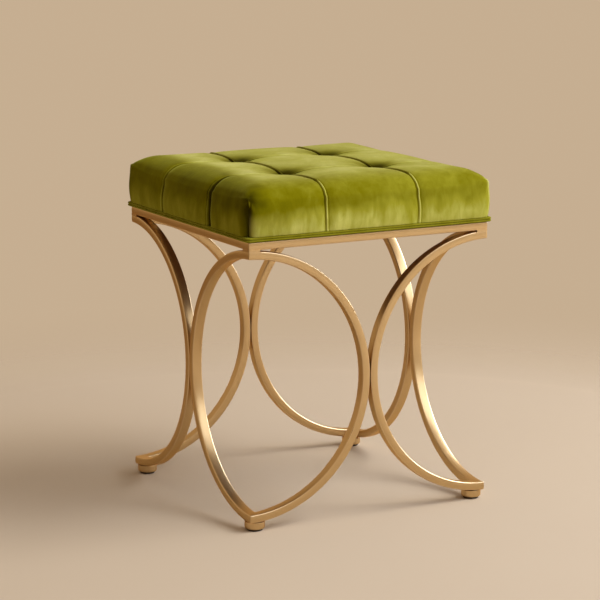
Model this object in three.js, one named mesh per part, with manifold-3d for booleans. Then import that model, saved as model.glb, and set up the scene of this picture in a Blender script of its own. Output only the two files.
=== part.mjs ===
// Square stool: a frame of half-circle bars under four rails, with a tufted cushion on top.
// Millimetres, +Z up. The origin is on the floor, under the middle of the seat.
import * as THREE from 'three';
import { mergeVertices } from 'three/addons/utils/BufferGeometryUtils.js';
import Module from 'manifold-3d';

const wasm = await Module();
wasm.setup();

// Driving dimensions: frame of rectangular tube
const FRAME_WIDTH = 390;           // over the outer faces of the rails, the same both ways
const TUBE_WIDTH = 12.5;           // a rail's height, and a curved bar's width in the side's plane
const TUBE_DEPTH = 16;             // from the outer face of the frame inwards
const TUBE_WALL = 1.5;
const JOINT_GAP = 0.3;             // between faces that are welded, sewn, glued or seated
const OVERRUN = 2;                 // how far a cutter passes the face that it cuts

// Driving dimensions: feet
const BOSS_DIAMETER = 29;
const BOSS_HEIGHT = 10;
const BOSS_EDGE = 3;               // radius of the rounded lower rim
const PAD_DIAMETER = 22;
const PAD_THICKNESS = 2.4;
const PAD_CHAMFER = 0.6;
const STEM_DIAMETER = 8;
const STEM_LENGTH = 9;             // above the stem's head
const STEM_HEAD_DIAMETER = 12;
const STEM_HEAD_HEIGHT = 1.2;

// Driving dimensions: what holds the seat down
const TAB_LEG = 42;                // along each rail
const TAB_THICKNESS = 3;
const TAB_DROP = 2;                // below the rails' top face
const TAB_TIP_CUT = 6;
const TAB_HOLE_INSET = 15;         // from both inner rail faces
const SCREW_DIAMETER = 4.5;
const SCREW_HEAD_DIAMETER = 10;
const SCREW_HEAD_HEIGHT = 2.8;
const SCREW_BITE = 11;             // how far the screw goes into the seat board
const SCREW_POINT = 3;
const SCREW_HOLE_CLEARANCE = 0.6;  // round a screw, in the tabs and the lining

// Driving dimensions: seat board, lining and ties
const BOARD_THICKNESS = 15;
const BOARD_CORNER = 18;
const LINING_THICKNESS = 0.8;
const LINING_SETBACK = 3;          // from the rails' inner faces
const LINING_CORNER = 8;
const TIE_DIAMETER = 2.6;
const TIE_HOLE_CLEARANCE = 0.8;
const TIE_DISC_DIAMETER = 16;
const TIE_DISC_THICKNESS = 1.6;

// Driving dimensions: cushion
const CUSHION_PROUD = 5.5;         // how far the cushion's sides stand out past the frame
const CUSHION_CORNER = 18;
const SIDE_HEIGHT = 46.5;          // from the rails up to where the shoulder starts to turn in
const CORNER_LIFT = 8;             // of the shoulder's start at the cushion's corners
const SHOULDER_RUN = 40;
const SHOULDER_RISE = 28.5;
const SEAT_DOME = 4;               // the seat's middle above its edges
const PANEL_CROWN = 1.5;           // a panel's middle above its seams
const SEAM_DRAW = 3;               // how far a seam pulls the side in
const SEAM_SPACING = 150;
const TUFT_DEPTH = 14;
const TUFT_SPREAD = 17;            // over which a tuft's pull fades
const COVER_THICKNESS = 2;
const HEM_REACH = 6;               // of the cover's turned-in hem, past the rails' inner faces
const PIPING_DIAMETER = 6.5;
const PIPING_PROUD = 6;            // past the frame
const PIPING_CORNER = 9;           // round its outer edge

// Counts and shares
const BAR_SEGMENTS = 18;           // in a quarter turn
const ROUND_SEGMENTS = 24;
const SMALL_SEGMENTS = 12;
const EDGE_SEGMENTS = 4;
const CORNER_SEGMENTS = 2;
const PIPING_CORNER_SEGMENTS = 4;
const PIPING_SIDES = 8;
const CORNER_LIFT_POWER = 8;       // the higher, the closer to the corners the lift stays
const CROWN_REACH_SHARE = 0.45;    // of an outer panel's width, over which it rises to its crown
const FINE_PANEL_SHARES = [0.4, 0.75, 1];
const FINE_EDGE_SHARES = [0.2, 0.5, 1];
const FINE_SHOULDER_SHARES = [0.5, 0.8, 0.95, 1];
const COARSE_PANEL_SHARES = [0.5, 1];
const COARSE_EDGE_SHARES = [0.5, 1];
const COARSE_SHOULDER_SHARES = [0.65, 1];
const FINE_SIDE_SHARES = [0.6, 0.12];
const COARSE_SIDE_SHARES = [0.12];

// Places that follow from the driving dimensions
const HALF = FRAME_WIDTH / 2;
const BAR_OUTER = HALF - JOINT_GAP / 2;
const BAR_INNER = BAR_OUTER - TUBE_WIDTH;
const BOSS_BOTTOM = PAD_THICKNESS + JOINT_GAP;
const BAR_BOTTOM = BOSS_BOTTOM + BOSS_HEIGHT + JOINT_GAP;
const BAR_CENTRE = BAR_BOTTOM + BAR_OUTER;
const RAIL_BOTTOM = BAR_CENTRE + BAR_OUTER + JOINT_GAP;
const RAIL_TOP = RAIL_BOTTOM + TUBE_WIDTH;
const INNER_HALF = HALF - TUBE_DEPTH;
const MITRE_BACK = JOINT_GAP * Math.SQRT1_2;
const FOOT_PLACE = HALF - BOSS_DIAMETER / 2;
const TAB_TOP = RAIL_TOP - TAB_DROP;
const TAB_BOTTOM = TAB_TOP - TAB_THICKNESS;
const SCREW_PLACE = INNER_HALF - TAB_HOLE_INSET;
const SEAT_BOTTOM = RAIL_TOP + JOINT_GAP;
const BOARD_BOTTOM = SEAT_BOTTOM + COVER_THICKNESS + JOINT_GAP;
const BOARD_TOP = BOARD_BOTTOM + BOARD_THICKNESS;
const FOAM_BOTTOM = BOARD_TOP + JOINT_GAP;
const LINING_TOP = SEAT_BOTTOM - JOINT_GAP;
const SEAM_PLACE = SEAM_SPACING / 2;
const CUSHION_HALF = HALF + CUSHION_PROUD;
const SHOULDER_START = RAIL_TOP + SIDE_HEIGHT;
const PIPING_HALF = HALF + PIPING_PROUD - PIPING_DIAMETER / 2;
const PIPING_MIDDLE = SEAT_BOTTOM + PIPING_DIAMETER / 2;
const HEM_HALF = PIPING_HALF - PIPING_DIAMETER / 2 - JOINT_GAP;
const HEM_TOP = SEAT_BOTTOM + PIPING_DIAMETER + JOINT_GAP;
const HEM_INSET = CUSHION_HALF - HEM_HALF;
const BOARD_HALF = HEM_HALF - COVER_THICKNESS - JOINT_GAP;
const TUFT_BOTTOM = SHOULDER_START + SHOULDER_RISE + SEAT_DOME * dome(SEAM_PLACE) ** 2 - TUFT_DEPTH;

const BRASS = { color: 0xb58b54, roughness: 0.34, metalness: 1 };
const STEEL = { color: 0x9a9a98, roughness: 0.4, metalness: 1 };
const NYLON = { color: 0x1d1712, roughness: 0.6, metalness: 0 };
const PLYWOOD = { color: 0xc79f6d, roughness: 0.75, metalness: 0 };
const FOAM = { color: 0xe6dcb4, roughness: 0.95, metalness: 0 };
const VELVET = { color: 0x6d7d1c, roughness: 0.85, metalness: 0 };
const LINING = { color: 0x191919, roughness: 0.95, metalness: 0 };
const TWINE = { color: 0xd8cdb4, roughness: 0.9, metalness: 0 };

const stool = new THREE.Group();

// Adds one named piece with its own material.
function place(group, name, geometry, finish) {
  const mesh = new THREE.Mesh(geometry, new THREE.MeshStandardMaterial(finish));
  mesh.name = name;
  group.add(mesh);
  return mesh;
}

// Keeps only positions, merges shared vertices and drops triangles without area.
function weld(geometry) {
  geometry.deleteAttribute('normal');
  geometry.deleteAttribute('uv');
  const merged = mergeVertices(geometry);
  const kept = [];
  const index = merged.index.array;
  for (let i = 0; i < index.length; i += 3) {
    const [a, b, c] = index.slice(i, i + 3);
    if (a !== b && b !== c && c !== a) {
      kept.push(a, b, c);
    }
  }
  merged.setIndex(kept);
  return merged;
}

function signedVolume(geometry) {
  const [a, b, c] = [new THREE.Vector3(), new THREE.Vector3(), new THREE.Vector3()];
  const position = geometry.attributes.position;
  const index = geometry.index.array;
  let sum = 0;
  for (let i = 0; i < index.length; i += 3) {
    a.fromBufferAttribute(position, index[i]);
    b.fromBufferAttribute(position, index[i + 1]);
    c.fromBufferAttribute(position, index[i + 2]);
    sum += a.dot(b.cross(c));
  }
  return sum / 6;
}

// A closed mesh whose faces point out.
function closed(geometry) {
  const welded = weld(geometry);
  if (signedVolume(welded) < 0) {
    welded.index.array.reverse();
  }
  return welded;
}

function toSolid(geometry) {
  const mesh = closed(geometry);
  return new wasm.Manifold(new wasm.Mesh({
    numProp: 3,
    vertProperties: new Float32Array(mesh.attributes.position.array),
    triVerts: new Uint32Array(mesh.index.array),
  }));
}

function toGeometry(solid) {
  const mesh = solid.getMesh();
  const geometry = new THREE.BufferGeometry();
  geometry.setAttribute('position', new THREE.BufferAttribute(mesh.vertProperties, 3));
  geometry.setIndex(new THREE.BufferAttribute(mesh.triVerts, 1));
  return geometry;
}

// A plan shape made solid from one height to another.
function prism(shape, bottom, top) {
  const geometry = new THREE.ExtrudeGeometry(shape, {
    depth: top - bottom,
    bevelEnabled: false,
    curveSegments: CORNER_SEGMENTS,
  });
  geometry.translate(0, 0, bottom);
  return geometry;
}

// A shape drawn in a side's plane, made solid from the front face of the frame inwards.
function sidePrism(shape, faceInset, depth, segments) {
  const geometry = new THREE.ExtrudeGeometry(shape, {
    depth,
    bevelEnabled: false,
    curveSegments: segments,
  });
  geometry.rotateX(Math.PI / 2);
  geometry.translate(0, faceInset + depth - HALF, 0);
  return geometry;
}

function polygon(points) {
  return new THREE.Shape(points.map(([x, y]) => new THREE.Vector2(x, y)));
}

function roundedSquare(half, radius) {
  const flat = half - radius;
  const shape = new THREE.Shape();
  shape.absarc(flat, flat, radius, 0, Math.PI / 2, false);
  shape.absarc(-flat, flat, radius, Math.PI / 2, Math.PI, false);
  shape.absarc(-flat, -flat, radius, Math.PI, Math.PI * 1.5, false);
  shape.absarc(flat, -flat, radius, Math.PI * 1.5, Math.PI * 2, false);
  return shape;
}

// A profile of [radius, height] points turned about the vertical axis.
function turned(profile, segments) {
  const points = profile.map(([radius, height]) => new THREE.Vector2(radius, height));
  const geometry = new THREE.LatheGeometry(points, segments);
  geometry.rotateX(Math.PI / 2);
  return geometry;
}

function rod(radius, bottom, top, segments) {
  return turned([[0, bottom], [radius, bottom], [radius, top], [0, top]], segments);
}

// The same geometry set down at the four corners of a square.
function atFourPlaces(geometry, half) {
  const places = [[-half, -half], [half, -half], [half, half], [-half, half]];
  return places.map(([x, y]) => geometry.clone().translate(x, y, 0));
}

function cutAll(solid, geometries) {
  return geometries.reduce((rest, geometry) => rest.subtract(toSolid(geometry)), solid);
}

// Frame
// One side's slab, with a 45 degree mitre at each end.
function sideEnvelope(bottom, top) {
  const outer = HALF - MITRE_BACK;
  const inner = outer - TUBE_DEPTH;
  const plan = polygon([
    [-outer, -HALF], [outer, -HALF], [inner, -INNER_HALF], [-inner, -INNER_HALF],
  ]);
  return prism(plan, bottom, top);
}

function railGeometry() {
  const bore = new THREE.BoxGeometry(FRAME_WIDTH, TUBE_DEPTH - 2 * TUBE_WALL, TUBE_WIDTH - 2 * TUBE_WALL);
  bore.translate(0, TUBE_DEPTH / 2 - HALF, (RAIL_BOTTOM + RAIL_TOP) / 2);
  return toGeometry(cutAll(toSolid(sideEnvelope(RAIL_BOTTOM, RAIL_TOP)), [bore]));
}

// Half a ring about the corner's edge; hand is -1 for the left corner and 1 for the right.
function halfRing(hand, outer, inner) {
  const middle = hand * HALF;
  const start = hand * Math.PI / 2;
  const end = start + Math.PI;
  const shape = new THREE.Shape();
  shape.absarc(middle, BAR_CENTRE, outer, start, end, false);
  shape.absarc(middle, BAR_CENTRE, inner, end, start, true);
  return shape;
}

// One bowed bar: hollow tube, mitred at both ends where its neighbour round the corner meets it.
function barGeometry(hand) {
  const outside = sidePrism(halfRing(hand, BAR_OUTER, BAR_INNER), 0, TUBE_DEPTH, BAR_SEGMENTS);
  const boreShape = halfRing(hand, BAR_OUTER - TUBE_WALL, BAR_INNER + TUBE_WALL);
  const bore = sidePrism(boreShape, TUBE_WALL, TUBE_DEPTH - 2 * TUBE_WALL, BAR_SEGMENTS);
  const envelope = toSolid(sideEnvelope(BAR_BOTTOM - OVERRUN, RAIL_BOTTOM + OVERRUN));
  return toGeometry(cutAll(toSolid(outside).intersect(envelope), [bore]));
}

function addFrame() {
  const sides = [
    ['front', 'left', 'right'], ['right', 'front', 'back'],
    ['back', 'right', 'left'], ['left', 'back', 'front'],
  ];
  const rail = railGeometry();
  const bars = [barGeometry(-1), barGeometry(1)];
  sides.forEach(([side, near, far], turn) => {
    const group = new THREE.Group();
    group.rotation.z = turn * Math.PI / 2;
    stool.add(group);
    place(group, `rail_${side}`, rail, BRASS);
    place(group, `bar_${side}_${near}`, bars[0], BRASS);
    place(group, `bar_${side}_${far}`, bars[1], BRASS);
  });
}

// Feet
// The threaded boss welded under a bottom corner, with a rounded lower rim.
function bossGeometry() {
  const radius = BOSS_DIAMETER / 2;
  const bore = STEM_DIAMETER / 2 + JOINT_GAP;
  const profile = [[bore, BOSS_BOTTOM]];
  for (let i = 0; i <= EDGE_SEGMENTS; i += 1) {
    const angle = i / EDGE_SEGMENTS * Math.PI / 2;
    profile.push([
      radius - BOSS_EDGE * (1 - Math.sin(angle)),
      BOSS_BOTTOM + BOSS_EDGE * (1 - Math.cos(angle)),
    ]);
  }
  profile.push([radius, BOSS_BOTTOM + BOSS_HEIGHT], [bore, BOSS_BOTTOM + BOSS_HEIGHT], [bore, BOSS_BOTTOM]);
  return closed(turned(profile, ROUND_SEGMENTS));
}

// The pad under the boss, with a socket for the stem's head.
function padGeometry() {
  const radius = PAD_DIAMETER / 2;
  const socket = STEM_HEAD_DIAMETER / 2 + JOINT_GAP;
  const socketFloor = PAD_THICKNESS - STEM_HEAD_HEIGHT - JOINT_GAP;
  return closed(turned([
    [0, 0], [radius - PAD_CHAMFER, 0], [radius, PAD_CHAMFER], [radius, PAD_THICKNESS],
    [socket, PAD_THICKNESS], [socket, socketFloor], [0, socketFloor],
  ], ROUND_SEGMENTS));
}

function stemGeometry() {
  const headBottom = PAD_THICKNESS - STEM_HEAD_HEIGHT;
  return closed(turned([
    [0, headBottom], [STEM_HEAD_DIAMETER / 2, headBottom], [STEM_HEAD_DIAMETER / 2, PAD_THICKNESS],
    [STEM_DIAMETER / 2, PAD_THICKNESS], [STEM_DIAMETER / 2, PAD_THICKNESS + STEM_LENGTH],
    [0, PAD_THICKNESS + STEM_LENGTH],
  ], SMALL_SEGMENTS));
}

// A steel triangle welded into a top corner, with its tips cut off and a screw hole.
function tabGeometry() {
  const corner = -INNER_HALF + JOINT_GAP;
  const tip = corner + TAB_LEG;
  const shape = polygon([
    [corner, corner], [tip, corner], [tip, corner + TAB_TIP_CUT],
    [corner + TAB_TIP_CUT, tip], [corner, tip],
  ]);
  const hole = new THREE.Path();
  hole.absarc(-SCREW_PLACE, -SCREW_PLACE, SCREW_DIAMETER / 2 + SCREW_HOLE_CLEARANCE, 0, Math.PI * 2, true);
  shape.holes.push(hole);
  return closed(new THREE.ExtrudeGeometry(shape, {
    depth: TAB_THICKNESS,
    bevelEnabled: false,
    curveSegments: SMALL_SEGMENTS / 2,
  }).translate(0, 0, TAB_BOTTOM));
}

function screwGeometry() {
  const headTop = TAB_BOTTOM - JOINT_GAP;
  const headRim = headTop - SCREW_HEAD_HEIGHT / 2;
  const tip = BOARD_BOTTOM + SCREW_BITE;
  return closed(turned([
    [0, headTop - SCREW_HEAD_HEIGHT], [SCREW_HEAD_DIAMETER / 4, headTop - SCREW_HEAD_HEIGHT],
    [SCREW_HEAD_DIAMETER / 2, headRim], [SCREW_HEAD_DIAMETER / 2, headTop],
    [SCREW_DIAMETER / 2, headTop], [SCREW_DIAMETER / 2, tip - SCREW_POINT], [0, tip],
  ], SMALL_SEGMENTS));
}

// The twine that pulls a tuft down, and the disc that it is tied off on under the board.
function tieGeometry() {
  const discTop = BOARD_BOTTOM - JOINT_GAP;
  const discBottom = discTop - TIE_DISC_THICKNESS;
  const top = TUFT_BOTTOM - COVER_THICKNESS - JOINT_GAP;
  return closed(turned([
    [0, discBottom], [TIE_DISC_DIAMETER / 2, discBottom], [TIE_DISC_DIAMETER / 2, discTop],
    [TIE_DIAMETER / 2, discTop], [TIE_DIAMETER / 2, top], [0, top],
  ], SMALL_SEGMENTS));
}

function addCornerPieces() {
  const corners = ['front_left', 'front_right', 'back_right', 'back_left'];
  const tab = tabGeometry();
  const pieces = [
    ['foot_boss', bossGeometry(), FOOT_PLACE, BRASS],
    ['glide_pad', padGeometry(), FOOT_PLACE, NYLON],
    ['glide_stem', stemGeometry(), FOOT_PLACE, STEEL],
    ['seat_screw', screwGeometry(), SCREW_PLACE, STEEL],
    ['tuft_tie', tieGeometry(), SEAM_PLACE, TWINE],
  ];
  corners.forEach((corner, turn) => {
    const group = new THREE.Group();
    group.rotation.z = turn * Math.PI / 2;
    stool.add(group);
    place(group, `seat_tab_${corner}`, tab, STEEL);
    for (const [name, geometry, where, finish] of pieces) {
      place(group, `${name}_${corner}`, geometry, finish).position.set(-where, -where, 0);
    }
  });
}

// Seat
function boardGeometry() {
  const board = toSolid(prism(roundedSquare(BOARD_HALF, BOARD_CORNER), BOARD_BOTTOM, BOARD_TOP));
  const tieHole = rod(
    TIE_DIAMETER / 2 + TIE_HOLE_CLEARANCE, BOARD_BOTTOM - OVERRUN, BOARD_TOP + OVERRUN, SMALL_SEGMENTS);
  const screwRoom = BOARD_BOTTOM + SCREW_BITE + JOINT_GAP;
  const screwHole = rod(
    SCREW_DIAMETER / 2 + JOINT_GAP, BOARD_BOTTOM - OVERRUN, screwRoom, SMALL_SEGMENTS);
  return toGeometry(cutAll(board, [
    ...atFourPlaces(tieHole, SEAM_PLACE),
    ...atFourPlaces(screwHole, SCREW_PLACE),
  ]));
}

// The dark cloth under the board, inside the rails.
function liningGeometry() {
  const half = INNER_HALF - LINING_SETBACK;
  const bottom = LINING_TOP - LINING_THICKNESS;
  const screwHole = rod(
    SCREW_DIAMETER / 2 + SCREW_HOLE_CLEARANCE, bottom - OVERRUN, LINING_TOP + OVERRUN, SMALL_SEGMENTS);
  const cloth = toSolid(prism(roundedSquare(half, LINING_CORNER), bottom, LINING_TOP));
  return toGeometry(cutAll(cloth, atFourPlaces(screwHole, SCREW_PLACE)));
}

// 0 on a seam, 1 in the middle of the middle panel and over most of an outer one.
function arch(along) {
  const distance = Math.abs(along);
  if (distance <= SEAM_PLACE) {
    return 1 - (distance / SEAM_PLACE) ** 2;
  }
  const reach = (CUSHION_HALF - SEAM_PLACE) * CROWN_REACH_SHARE;
  const left = Math.max(0, 1 - (distance - SEAM_PLACE) / reach);
  return 1 - left ** 2;
}

// 0 at the cushion's outline, 1 where the shoulder has levelled out.
function shoulder(along) {
  const left = Math.max(0, 1 - (CUSHION_HALF - Math.abs(along)) / SHOULDER_RUN);
  return Math.sqrt(1 - left ** 2);
}

// 1 in the middle of the seat, 0 at its edge.
function dome(along) {
  return 1 - (along / CUSHION_HALF) ** 2;
}

// Moves a point of the square plan into the plan with rounded corners.
function roundPlan(x, y) {
  const flat = CUSHION_HALF - CUSHION_CORNER;
  const [overX, overY] = [Math.max(0, Math.abs(x) - flat), Math.max(0, Math.abs(y) - flat)];
  if (overX === 0 || overY === 0) {
    return [x, y];
  }
  const scale = Math.max(overX, overY) / Math.hypot(overX, overY);
  return [Math.sign(x) * (flat + overX * scale), Math.sign(y) * (flat + overY * scale)];
}

// The same point where a seam pulls it in from the cushion's outline.
function drawnPlan(x, y, pull) {
  const [planX, planY] = roundPlan(x, y);
  const drawX = pull * SEAM_DRAW * (1 - arch(y)) * (1 - shoulder(x));
  const drawY = pull * SEAM_DRAW * (1 - arch(x)) * (1 - shoulder(y));
  return [planX - Math.sign(x) * drawX, planY - Math.sign(y) * drawY];
}

// A point of the cushion's top, from its place in the square plan. Lift is the corners'.
function topPoint(x, y, lift) {
  const level = shoulder(x) * shoulder(y);
  const nearCorner = Math.abs(x * y) / CUSHION_HALF ** 2;
  const edge = SHOULDER_START + lift * nearCorner ** CORNER_LIFT_POWER;
  const rise = SHOULDER_RISE + SEAT_DOME * dome(x) * dome(y) + PANEL_CROWN * arch(x) * arch(y);
  let height = edge + level * rise;
  for (const [tuftX, tuftY] of [[-1, -1], [1, -1], [1, 1], [-1, 1]]) {
    const away = Math.hypot(x - tuftX * SEAM_PLACE, y - tuftY * SEAM_PLACE);
    height -= level * TUFT_DEPTH * Math.exp(-away / TUFT_SPREAD);
  }
  return new THREE.Vector3(...drawnPlan(x, y, 1), height);
}

// A point of the cushion's side, below the square plan's edge.
function sidePoint(x, y, height, inset, pull) {
  const [planX, planY] = drawnPlan(x, y, pull);
  const scale = (CUSHION_HALF - inset) / CUSHION_HALF;
  return new THREE.Vector3(planX * scale, planY * scale, height);
}

// The cushion's outer surface, drawn in behind the piping at its foot, then closed underneath.
// Inset moves it inwards, for what lies under the cover.
function cushionGeometry(panelShares, edgeShares, shoulderShares, sideShares, inset, lift) {
  const flatEdge = CUSHION_HALF - SHOULDER_RUN;
  const half = [
    ...panelShares.map((share) => share * SEAM_PLACE),
    ...edgeShares.map((share) => SEAM_PLACE + share * (flatEdge - SEAM_PLACE)),
    ...shoulderShares.map((share) => flatEdge + share * SHOULDER_RUN),
  ];
  const lines = [...half.map((value) => -value).reverse(), 0, ...half];
  const last = lines.length - 1;
  const points = [];
  const quads = [];
  for (const y of lines) {
    for (const x of lines) {
      points.push(topPoint(x, y, lift));
    }
  }
  const at = (column, row) => row * lines.length + column;
  for (let row = 0; row < last; row += 1) {
    for (let column = 0; column < last; column += 1) {
      quads.push([at(column, row), at(column + 1, row), at(column + 1, row + 1), at(column, row + 1)]);
    }
  }
  let ring = [];
  for (let i = 0; i < last; i += 1) {
    ring.push(at(i, 0));
  }
  for (let i = 0; i < last; i += 1) {
    ring.push(at(last, i));
  }
  for (let i = last; i > 0; i -= 1) {
    ring.push(at(i, last));
  }
  for (let i = last; i > 0; i -= 1) {
    ring.push(at(0, i));
  }
  const sideHeight = SHOULDER_START - HEM_TOP;
  const rows = sideShares.map((share) => [HEM_TOP + share * sideHeight, 0, Math.sqrt(share)]);
  rows.push([HEM_TOP, HEM_INSET, 0], [SEAT_BOTTOM, HEM_INSET, 0]);
  const border = ring.map(
    (index) => [lines[index % lines.length], lines[Math.floor(index / lines.length)]]);
  for (const [height, drawn, pull] of rows) {
    const next = border.map(([x, y]) => points.push(sidePoint(x, y, height, drawn, pull)) - 1);
    ring.forEach((index, i) => {
      const after = (i + 1) % ring.length;
      quads.push([next[i], next[after], ring[after], index]);
    });
    ring = next;
  }
  const moved = insetPoints(points, quads, inset);
  for (const index of ring) {
    moved[index].z = SEAT_BOTTOM;
  }
  const middle = moved.push(new THREE.Vector3(0, 0, SEAT_BOTTOM)) - 1;
  const triangles = quads.flatMap(([a, b, c, d]) => [a, b, c, a, c, d]);
  ring.forEach((index, i) => triangles.push(middle, ring[(i + 1) % ring.length], index));
  return meshOf(moved, triangles);
}

// Moves each point inwards along the mean normal of the faces round it.
function insetPoints(points, quads, inset) {
  const normals = points.map(() => new THREE.Vector3());
  for (const [a, b, c, d] of quads) {
    const across = points[c].clone().sub(points[a]);
    const other = points[d].clone().sub(points[b]);
    const normal = across.cross(other).normalize();
    for (const index of [a, b, c, d]) {
      normals[index].add(normal);
    }
  }
  return points.map((point, i) => point.clone().addScaledVector(normals[i].normalize(), -inset));
}

function meshOf(points, triangles) {
  const geometry = new THREE.BufferGeometry();
  geometry.setFromPoints(points);
  geometry.setIndex(triangles);
  return geometry;
}

// The full plan above one height, to trim a solid's foot level.
function blockAbove(bottom) {
  const height = SIDE_HEIGHT + SHOULDER_RISE + SEAT_DOME + PANEL_CROWN + OVERRUN;
  const block = new THREE.BoxGeometry(CUSHION_HALF * 2 + OVERRUN, CUSHION_HALF * 2 + OVERRUN, height);
  return block.translate(0, 0, bottom + height / 2);
}

function underCover(inset, bottom, lift) {
  const form = cushionGeometry(
    COARSE_PANEL_SHARES, COARSE_EDGE_SHARES, COARSE_SHOULDER_SHARES, COARSE_SIDE_SHARES, inset, lift);
  return toSolid(form).intersect(toSolid(blockAbove(bottom)));
}

// The velvet: a shell with the tufted form, turned in under the board at its foot.
function coverGeometry() {
  const form = cushionGeometry(
    FINE_PANEL_SHARES, FINE_EDGE_SHARES, FINE_SHOULDER_SHARES, FINE_SIDE_SHARES, 0, CORNER_LIFT);
  const mouthShape = roundedSquare(INNER_HALF - HEM_REACH, LINING_CORNER);
  const mouth = prism(mouthShape, SEAT_BOTTOM - OVERRUN, BOARD_BOTTOM + OVERRUN);
  const hollow = underCover(COVER_THICKNESS, SEAT_BOTTOM + COVER_THICKNESS, CORNER_LIFT);
  const boardShape = roundedSquare(BOARD_HALF + JOINT_GAP, BOARD_CORNER + JOINT_GAP);
  const boardRoom = prism(boardShape, SEAT_BOTTOM + COVER_THICKNESS, FOAM_BOTTOM);
  return toGeometry(cutAll(toSolid(form).subtract(hollow), [boardRoom, mouth]));
}

function foamGeometry() {
  const tieHole = rod(
    TIE_DIAMETER / 2 + TIE_HOLE_CLEARANCE, FOAM_BOTTOM - OVERRUN, TUFT_BOTTOM + OVERRUN, SMALL_SEGMENTS);
  const foam = underCover(COVER_THICKNESS + JOINT_GAP, FOAM_BOTTOM, 0);
  return toGeometry(cutAll(foam, atFourPlaces(tieHole, SEAM_PLACE)));
}

// The round piping along the cushion's foot: a ring swept round the rounded square.
function pipingGeometry() {
  const radius = PIPING_DIAMETER / 2;
  const bend = PIPING_CORNER - radius;
  const flat = PIPING_HALF - bend;
  const points = [];
  for (let corner = 0; corner < 4; corner += 1) {
    for (let step = 0; step <= PIPING_CORNER_SEGMENTS; step += 1) {
      const angle = (corner + step / PIPING_CORNER_SEGMENTS) * Math.PI / 2;
      const middle = (corner + 1 / 2) * Math.PI / 2;
      const centreX = Math.sign(Math.cos(middle)) * flat;
      const centreY = Math.sign(Math.sin(middle)) * flat;
      for (let side = 0; side < PIPING_SIDES; side += 1) {
        const turn = side / PIPING_SIDES * Math.PI * 2;
        const out = bend + radius * Math.cos(turn);
        const height = PIPING_MIDDLE + radius * Math.sin(turn);
        points.push(new THREE.Vector3(
          centreX + out * Math.cos(angle), centreY + out * Math.sin(angle), height));
      }
    }
  }
  const rings = points.length / PIPING_SIDES;
  const triangles = [];
  for (let ring = 0; ring < rings; ring += 1) {
    for (let side = 0; side < PIPING_SIDES; side += 1) {
      const [here, next] = [ring * PIPING_SIDES, (ring + 1) % rings * PIPING_SIDES];
      const after = (side + 1) % PIPING_SIDES;
      triangles.push(here + side, next + side, next + after, here + side, next + after, here + after);
    }
  }
  return closed(meshOf(points, triangles));
}

function addSeat() {
  place(stool, 'seat_board', boardGeometry(), PLYWOOD);
  place(stool, 'seat_lining', liningGeometry(), LINING);
  place(stool, 'foam_core', foamGeometry(), FOAM);
  place(stool, 'seat_cover', coverGeometry(), VELVET);
  place(stool, 'seat_piping', pipingGeometry(), VELVET);
}

addFrame();
addCornerPieces();
addSeat();

export default stool;
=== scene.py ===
"""Looks of the square stool: satin brass frame, tufted velvet cushion, pale studio."""

import math
from types import SimpleNamespace

import bpy
import numpy as np
from mathutils import Matrix, Vector, noise


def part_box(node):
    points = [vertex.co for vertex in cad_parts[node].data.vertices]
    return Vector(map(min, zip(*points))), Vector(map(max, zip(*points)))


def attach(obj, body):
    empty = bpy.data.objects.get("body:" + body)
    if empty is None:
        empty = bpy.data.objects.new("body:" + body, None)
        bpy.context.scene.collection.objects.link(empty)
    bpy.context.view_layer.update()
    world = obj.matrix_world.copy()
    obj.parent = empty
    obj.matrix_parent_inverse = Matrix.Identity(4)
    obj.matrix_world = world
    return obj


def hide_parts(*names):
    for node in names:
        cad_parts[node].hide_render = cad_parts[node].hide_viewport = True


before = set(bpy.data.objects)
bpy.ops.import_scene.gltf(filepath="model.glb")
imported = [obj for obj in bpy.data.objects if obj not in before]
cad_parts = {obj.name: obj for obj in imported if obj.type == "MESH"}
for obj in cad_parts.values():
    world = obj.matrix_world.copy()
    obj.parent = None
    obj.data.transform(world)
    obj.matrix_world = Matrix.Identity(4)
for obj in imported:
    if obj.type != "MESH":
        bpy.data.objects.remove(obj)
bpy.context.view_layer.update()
MM = 0.001

# -------------------- sizes, read from the frame
rail_low, rail_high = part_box("rail_front")
bar_low, bar_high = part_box("bar_front_left")
boss_low, boss_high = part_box("foot_boss_front_left")
pad_low, pad_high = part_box("glide_pad_front_left")
cover_low, cover_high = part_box("seat_cover")
piping_low, piping_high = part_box("seat_piping")
lining_low, lining_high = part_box("seat_lining")

HALF = -rail_low.y
TUBE_DEPTH = rail_high.y - rail_low.y
TUBE_WIDTH = rail_high.z - rail_low.z
RAIL_BOTTOM, RAIL_TOP = rail_low.z, rail_high.z
BAR_RADIUS = (bar_high.z - bar_low.z) / 2
BAR_CENTRE = (bar_high.z + bar_low.z) / 2
BOSS_RADIUS = (boss_high.x - boss_low.x) / 2
PAD_RADIUS = (pad_high.x - pad_low.x) / 2
SEAT_BOTTOM = cover_low.z
CUSHION_HALF = cover_high.x

# -------------------- sizes of the visual detail
EDGE = 1.5 * MM  # the tube's rounded edges
FACE_CROWN = 0.4 * MM  # how full its faces are
CORNER_EDGE = 1.6 * MM  # the frame's upright corner edges
MITRE = 0.2 * MM  # half the joint at a mitre
WELD_REACH = 17.5 * MM  # how far the top corners' weld runs in
WELD_HOLLOW = 3 * MM  # how hollow its end is
BOSS_RIM, BOSS_LIP = 3 * MM, 0.25 * MM
BOSS_BORE = 4.6 * MM
BOSS_WELD = 0.6 * MM  # closes the joint under the bars, whose underside curves away
PAD_CHAMFER = 0.6 * MM

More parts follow.
